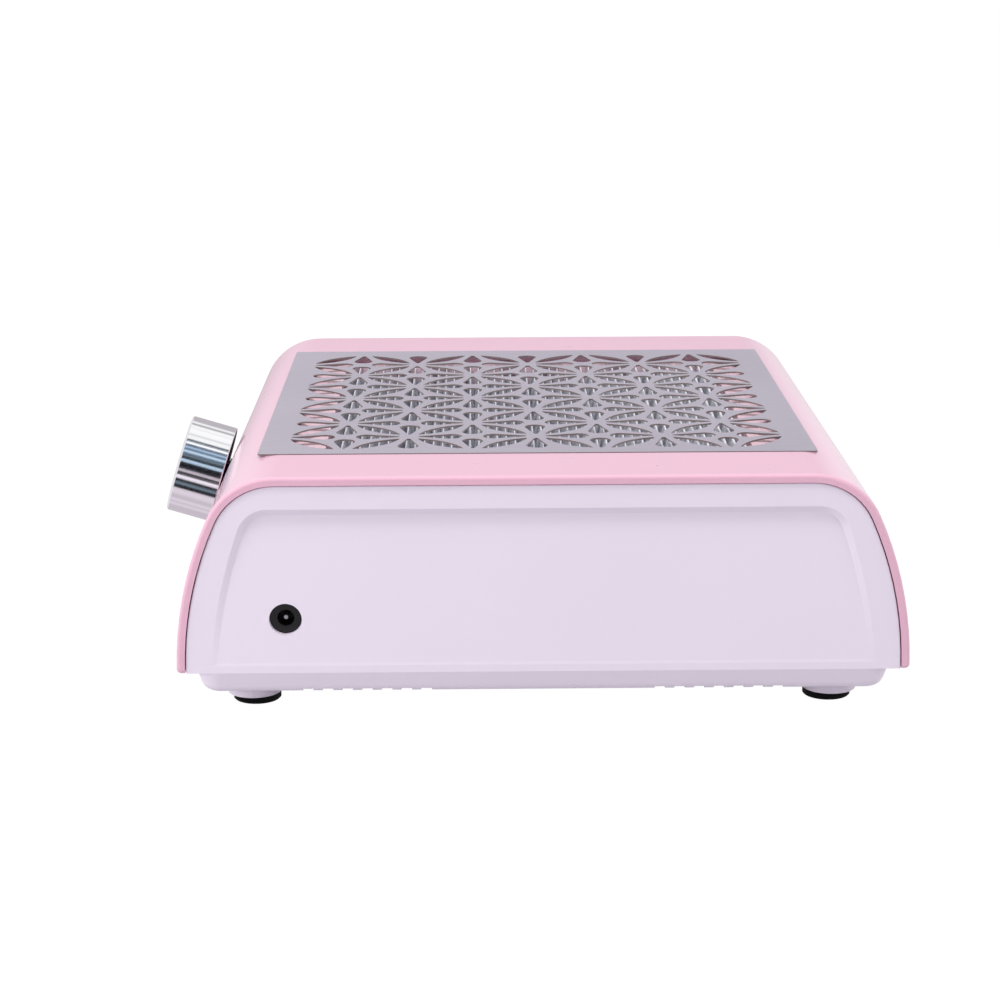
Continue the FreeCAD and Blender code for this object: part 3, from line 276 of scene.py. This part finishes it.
def dress():
    """Give every CAD node its material, by the record's slots."""
    made = {
        "pink_plastic": moulded("pink_plastic", srgb(234, 183, 205), 0.3, coat=0.7, grain=0.0),
        "white_plastic": moulded("white_plastic", srgb(241, 231, 246), 0.42, coat=0.1),
        "plate_steel": pierced_steel(),
        "filter_paper": paper(),
        "filter_plastic": moulded("filter_plastic", srgb(240, 206, 218), 0.5),
        "foam": soft_black("foam", srgb(52, 50, 54), 0.95, 900.0),
        "rubber": soft_black("rubber", srgb(4, 4, 5), 0.75, 1500.0),
        "black_plastic": moulded("black_plastic", srgb(4, 4, 5), 0.3),
        "knob_chrome": chrome(),
        "steel": metal("steel", srgb(190, 190, 195), 0.3),
        "brass": metal("brass", srgb(196, 160, 90), 0.3),
        "copper": metal("copper", srgb(176, 96, 52), 0.35),
        "iron": metal("iron", srgb(110, 110, 114), 0.5),
        "magnet": metal("magnet", srgb(52, 52, 56), 0.6, metallic=0.3),
        "board": circuit_board(),
        "aluminium": metal("aluminium", srgb(188, 190, 194), 0.35),
        "lead_jacket": soft_black("lead_jacket", srgb(26, 26, 28), 0.5, 1200.0),
        "header_plastic": moulded("header_plastic", srgb(226, 222, 208), 0.45),
    }
    # painted shade: near-black steel for the hardware in the shadowed gap behind the knob
    dark = metal("painted_shade_steel", srgb(16, 16, 18), 0.5)
    for part in frame["record"]["subparts"]:
        mesh = NODES[part["node"]].data
        mesh.materials.clear()
        mesh.materials.append(dark if part["node"] in PAINTED_SHADE_HARDWARE else made[part["material_slot"]])
        mesh.shade_smooth()
        mesh.set_sharp_from_angle(angle=math.radians(30))


# ---------------------------------------------------------------- stage and light
# name, place, the point it faces, width, depth, watts
LAMPS = (
    ("overhead_softbox", (0.45, -0.25, 1.5), (0, 0, 0.08), 0.35, 0.35, 12.8),
    ("front_softbox", (0.7, -1.4, 0.3), (0.1, 0, 0.05), 0.8, 0.5, 8.8),
    ("socket_side_softbox", (1.75, 0.0, 0.62), (0, 0, 0.08), 0.7, 0.5, 0.4),
    ("far_side_softbox", (-0.9, 0.0, 0.5), (0, 0, 0.08), 0.8, 0.4, 2.7),
    ("back_softbox", (0.4, 1.5, 0.35), (0.1, 0, 0.05), 0.8, 0.5, 5.0),
)


def area_light(name, location, target, width, depth, power):
    """Soft lamp that lights the object without showing in its reflections."""
    data = bpy.data.lights.new(name, "AREA")
    data.shape = "RECTANGLE"
    data.size = width
    data.size_y = depth
    data.energy = power
    lamp = bpy.data.objects.new(name, data)
    lamp.location = location
    heading = Vector(target) - Vector(location)
    lamp.rotation_euler = heading.to_track_quat("-Z", "Y").to_euler()
    lamp.visible_glossy = False
    bpy.context.scene.collection.objects.link(lamp)


# Tones of the studio that polished surfaces see. Display values over 255 are lamps.
BARE_LAMP = srgb(282, 286, 292)
LAMP = srgb(260, 260, 260)
LOW_LAMP = srgb(260, 250, 262)
SEAM = srgb(215, 215, 218)
FRAME_BAR = srgb(160, 158, 162)
WALL = srgb(190, 185, 190)
TABLE = srgb(228, 217, 228)
TABLE_EDGE = srgb(202, 192, 202)
PALE_BLUE = srgb(210, 235, 258)
BLUE = srgb(185, 212, 240)
SLATE = srgb(115, 130, 143)
NAVY = srgb(16, 40, 64)
CHARCOAL = srgb(38, 40, 48)
BLACK = srgb(6, 8, 12)

# Its strips and flags: first angle, last angle, tone. The angle is in degrees from straight up
# towards +X. From the white tent overhead the view goes down past blue-lit strips and black
# flags to a pale table.
TENT = (
    (-180, -180, TABLE_EDGE), (-171, -170, TABLE), (-160, -105, TABLE_EDGE), (-100, -52, WALL),
    (-49, -45, LAMP), (-39, -36, FRAME_BAR), (-33, -24, LAMP), (-22, -22, SEAM), (-20, -4, LAMP),
    (-1, 1, SEAM), (4, 10, LAMP),
)
BLUE_STRIPS = (
    (10, 13, LAMP), (15, 20, NAVY), (22, 26, BARE_LAMP), (28, 32, NAVY), (34, 37, BLUE),
    (39, 41, NAVY), (45, 48, PALE_BLUE), (50, 52, NAVY), (54, 57, SLATE), (59, 64, BLACK),
    (66, 70, PALE_BLUE), (72, 74, BLACK),
)
FLAGS = (
    (74, 81, BLACK), (83, 87, CHARCOAL), (89, 92, TABLE), (94, 101, BLACK), (103, 109, LOW_LAMP),
    (111, 117, BLACK), (119, 124, SLATE), (126, 134, BLACK), (136, 147, TABLE),
    (159, 164, TABLE_EDGE), (171, 175, TABLE), (180, 180, TABLE_EDGE),
)
LAMP_LEVEL = 1.5
STUDIO_GAIN = 1.08
STUDIO_WHITE = (0.9, 0.88, 0.91, 1.0)
SOFT_LEVELS = ((0.0, 0.38), (0.5, 0.4), (0.62, 0.52), (1.0, 0.7))


def make_world():
    """White to the eye, even for soft light, and a studio with dark flags for reflections."""
    world = bpy.data.worlds.new("studio")
    world.use_nodes = True
    world.cycles.sampling_method = "NONE"
    tree = world.node_tree
    tree.nodes.clear()

    def add(kind, **settings):
        node = tree.nodes.new(kind)
        for key, value in settings.items():
            setattr(node, key, value)
        return node

    def math_node(operation, first, second=None, third=None):
        node = add("ShaderNodeMath", operation=operation)
        for socket, value in zip(node.inputs, (first, second, third)):
            if isinstance(value, (int, float)):
                socket.default_value = value
            elif value is not None:
                tree.links.new(value, socket)
        return node.outputs[0]

    def blend(factor, first, second):
        node = add("ShaderNodeMix", data_type="RGBA")
        tree.links.new(factor, node.inputs["Factor"])
        for socket, value in ((node.inputs[6], first), (node.inputs[7], second)):
            if isinstance(value, tuple):
                socket.default_value = value
            else:
                tree.links.new(value, socket)
        return node.outputs[2]

    direction = add("ShaderNodeTexCoord").outputs["Generated"]
    split = add("ShaderNodeSeparateXYZ")
    tree.links.new(direction, split.inputs[0])
    angle = math_node("ARCTAN2", split.outputs["X"], split.outputs["Z"])
    studio = None
    for strip in (TENT, BLUE_STRIPS, FLAGS):
        low, high = math.radians(strip[0][0]), math.radians(strip[-1][1])
        along = math_node("MULTIPLY_ADD", angle, 1 / (high - low), -low / (high - low))
        ramp = add("ShaderNodeValToRGB")
        tree.links.new(along, ramp.inputs[0])
        stops = ramp.color_ramp.elements
        edges = [(edge, tone) for first, last, tone in strip for edge in sorted({first, last})]
        for k, (degrees, tone) in enumerate(edges):
            place = (math.radians(degrees) - low) / (high - low)
            stop = stops[k] if k < 2 else stops.new(place)
            stop.position = place
            stop.color = tuple(c / LAMP_LEVEL for c in tone[:3]) + (1.0,)
        if studio is None:
            studio = ramp.outputs[0]
        else:
            studio = blend(math_node("GREATER_THAN", angle, low), studio, ramp.outputs[0])

    # the flags fill a belt across the knob's axis; the rest of the studio is white
    across = add("ShaderNodeVectorMath", operation="DOT_PRODUCT")
    tree.links.new(direction, across.inputs[0])
    across.inputs[1].default_value = tuple(KNOB_AXIS)
    away = math_node("ABSOLUTE", math_node("SUBTRACT", across.outputs["Value"], 0.03))
    fade = add("ShaderNodeMapRange", interpolation_type="SMOOTHSTEP")
    for key, number in (("From Min", 0.12), ("From Max", 0.32), ("To Min", 1.0), ("To Max", 0.0)):
        fade.inputs[key].default_value = number
    tree.links.new(away, fade.inputs["Value"])
    bright = add("ShaderNodeVectorMath", operation="SCALE")
    tree.links.new(studio, bright.inputs[0])
    bright.inputs["Scale"].default_value = LAMP_LEVEL * STUDIO_GAIN
    mirrored = blend(fade.outputs[0], STUDIO_WHITE, bright.outputs[0])

    # soft light: bright overhead, dimmer from the table
    height = math_node("MULTIPLY_ADD", split.outputs["Z"], 0.5, 0.5)
    soft = add("ShaderNodeValToRGB")
    tree.links.new(height, soft.inputs[0])
    stops = soft.color_ramp.elements
    for k, (place, level) in enumerate(SOFT_LEVELS):
        stop = stops[k] if k < 2 else stops.new(place)
        stop.position = place
        stop.color = (level, level, level, 1.0)

    rays = add("ShaderNodeLightPath")
    seen = blend(rays.outputs["Is Glossy Ray"], soft.outputs[0], mirrored)
    seen = blend(rays.outputs["Is Camera Ray"], seen, (1.0, 1.0, 1.0, 1.0))
    background = add("ShaderNodeBackground")
    tree.links.new(seen, background.inputs["Color"])
    output = add("ShaderNodeOutputWorld")
    tree.links.new(background.outputs[0], output.inputs["Surface"])
    bpy.context.scene.world = world


def make_stage():
    """Table sweep, white to the camera and grey in what it throws back, and the studio's light."""
    mesh = bpy.data.meshes.new("floor")
    reach = 30.0
    mesh.from_pydata([(-reach, -reach, 0), (reach, -reach, 0), (reach, reach, 0), (-reach, reach, 0)],
                     [], [(0, 1, 2, 3)])
    floor = bpy.data.objects.new("floor", mesh)
    bpy.context.scene.collection.objects.link(floor)
    floor.visible_glossy = False
    s = Shader("floor_white")
    s.colour(s.mix(s.span(s.noise(3.0), 0.3, 0.7, 0.0, 1.0), srgb(182, 180, 184), srgb(190, 188, 192)))
    s.put(Roughness=0.9)
    glow = s.add("ShaderNodeEmission")
    rays = s.add("ShaderNodeLightPath")
    pick = s.add("ShaderNodeMixShader")
    s.link(s.span(rays.outputs["Is Camera Ray"], 0.0, 1.0, 0.0, 0.94), pick.inputs["Fac"])
    s.link(s.bsdf.outputs[0], pick.inputs[1])
    s.link(glow.outputs[0], pick.inputs[2])
    glow.inputs["Strength"].default_value = 1.06
    s.link(pick.outputs[0], s.out.inputs["Surface"])
    mesh.materials.append(s.material)
    make_world()
    for lamp in LAMPS:
        area_light(*lamp)
    bpy.context.scene.view_settings.view_transform = "Standard"


# ---------------------------------------------------------------- knob
KNOB_RADIUS = 19.5 * MM
KNOB_BACK = 1.4 * MM
KNOB_FRONT = 19.7 * MM
KNOB_FLUTES = 72
STEPS_PER_FLUTE = 16
FLUTE_DEPTH = 0.007 * MM
FACE_DEPTH = 0.7 * MM
SHADE_RING_HOLE = 9.0 * MM
SHADE_RING_STEPS = 144


def turned(name, outline, count, groove_depth, centre_at):
    """Piece turned round the knob's axis: grooved once per flute, closed by a face or on itself."""
    side = Vector((1, 0, 0))
    up = KNOB_AXIS.cross(side)
    vertices, faces = [], []
    for radius, along, grooved in outline:
        for k in range(count):
            inset = groove_depth * grooved if k % STEPS_PER_FLUTE == 0 else 0.0
            turn = math.tau * (k + 0.5 * STEPS_PER_FLUTE) / count
            spoke = side * math.sin(turn) + up * math.cos(turn)
            vertices.append(KNOB_SEAT + KNOB_AXIS * along + spoke * (radius - inset))
    rings = len(outline)
    for ring in range(rings if centre_at is None else rings - 1):
        for k in range(count):
            a, b = ring * count + k, ring * count + (k + 1) % count
            c, d = (a + count) % (rings * count), (b + count) % (rings * count)
            faces.append((a, b, d, c))
    if centre_at is not None:
        centre = len(vertices)
        vertices.append(KNOB_SEAT + KNOB_AXIS * centre_at)
        last = (rings - 1) * count
        faces += [(last + k, last + (k + 1) % count, centre) for k in range(count)]
    mesh = bpy.data.meshes.new(name)
    mesh.from_pydata(vertices, [], faces)
    mesh.validate()
    build = bmesh.new()
    build.from_mesh(mesh)
    bmesh.ops.recalc_face_normals(build, faces=build.faces)
    build.to_mesh(mesh)
    build.free()
    mesh.shade_smooth()
    mesh.set_sharp_from_angle(angle=math.radians(28))
    piece = bpy.data.objects.new(name, mesh)
    bpy.context.scene.collection.objects.link(piece)
    return piece


def make_knob():
    """Chrome shell of the knob, with fine grooves along its side and a dished face, and a black ring in its back:
    painted shade for the shadowed hollow of the knob.
    """
    # (radius, distance along the axis, depth of the grooves there)
    outline = [
        (KNOB_RADIUS - 0.5 * MM, KNOB_BACK + 2.2 * MM, 0.0),
        (KNOB_RADIUS - 0.5 * MM, KNOB_BACK + 0.1 * MM, 0.0),
        (KNOB_RADIUS - 0.4 * MM, KNOB_BACK, 0.0), (KNOB_RADIUS - 0.25 * MM, KNOB_BACK, 0.0),
        (KNOB_RADIUS - 0.08 * MM, KNOB_BACK + 0.08 * MM, 0.0), (KNOB_RADIUS, KNOB_BACK + 0.3 * MM, 1.0),
        (KNOB_RADIUS, KNOB_BACK + 0.6 * MM, 1.0), (KNOB_RADIUS, KNOB_BACK + 9.0 * MM, 1.0),
        (KNOB_RADIUS, KNOB_FRONT - 1.1 * MM, 1.0), (KNOB_RADIUS, KNOB_FRONT - 0.8 * MM, 1.0),
        (KNOB_RADIUS - 0.12 * MM, KNOB_FRONT - 0.5 * MM, 0.5),
        (KNOB_RADIUS - 0.4 * MM, KNOB_FRONT - 0.18 * MM, 0.0),
        (KNOB_RADIUS - 0.8 * MM, KNOB_FRONT, 0.0), (KNOB_RADIUS - 1.4 * MM, KNOB_FRONT, 0.0),
        (KNOB_RADIUS - 1.8 * MM, KNOB_FRONT - 0.15 * MM, 0.0),
        (KNOB_RADIUS - 2.2 * MM, KNOB_FRONT - 0.35 * MM, 0.0),
        (13.0 * MM, KNOB_FRONT - 0.5 * MM, 0.0), (7.0 * MM, KNOB_FRONT - 0.65 * MM, 0.0),
        (2.0 * MM, KNOB_FRONT - FACE_DEPTH, 0.0),
    ]
    shell = turned("knob_shell", outline, KNOB_FLUTES * STEPS_PER_FLUTE, FLUTE_DEPTH,
                   KNOB_FRONT - FACE_DEPTH)
    shell.data.materials.append(bpy.data.materials["knob_chrome"])
    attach(shell, "knob")
    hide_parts("knob")
    # painted shade: a black plastic ring inside the knob's back stands in for the shade in its hollow
    shade_ring_outline = [
        (SHADE_RING_HOLE, KNOB_BACK + 2.0 * MM, 0.0), (SHADE_RING_HOLE, KNOB_BACK + 0.6 * MM, 0.0),
        (SHADE_RING_HOLE + 0.4 * MM, KNOB_BACK + 0.2 * MM, 0.0),
        (KNOB_RADIUS - 0.7 * MM, KNOB_BACK + 0.2 * MM, 0.0),
        (KNOB_RADIUS - 0.52 * MM, KNOB_BACK + 0.4 * MM, 0.0),
        (KNOB_RADIUS - 0.52 * MM, KNOB_BACK + 2.0 * MM, 0.0),
    ]
    ring = turned("knob_shade_ring", shade_ring_outline, SHADE_RING_STEPS, 0.0, None)
    ring.data.materials.append(bpy.data.materials["black_plastic"])
    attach(ring, "knob")


make_camera()
dress()
make_knob()
make_stage()
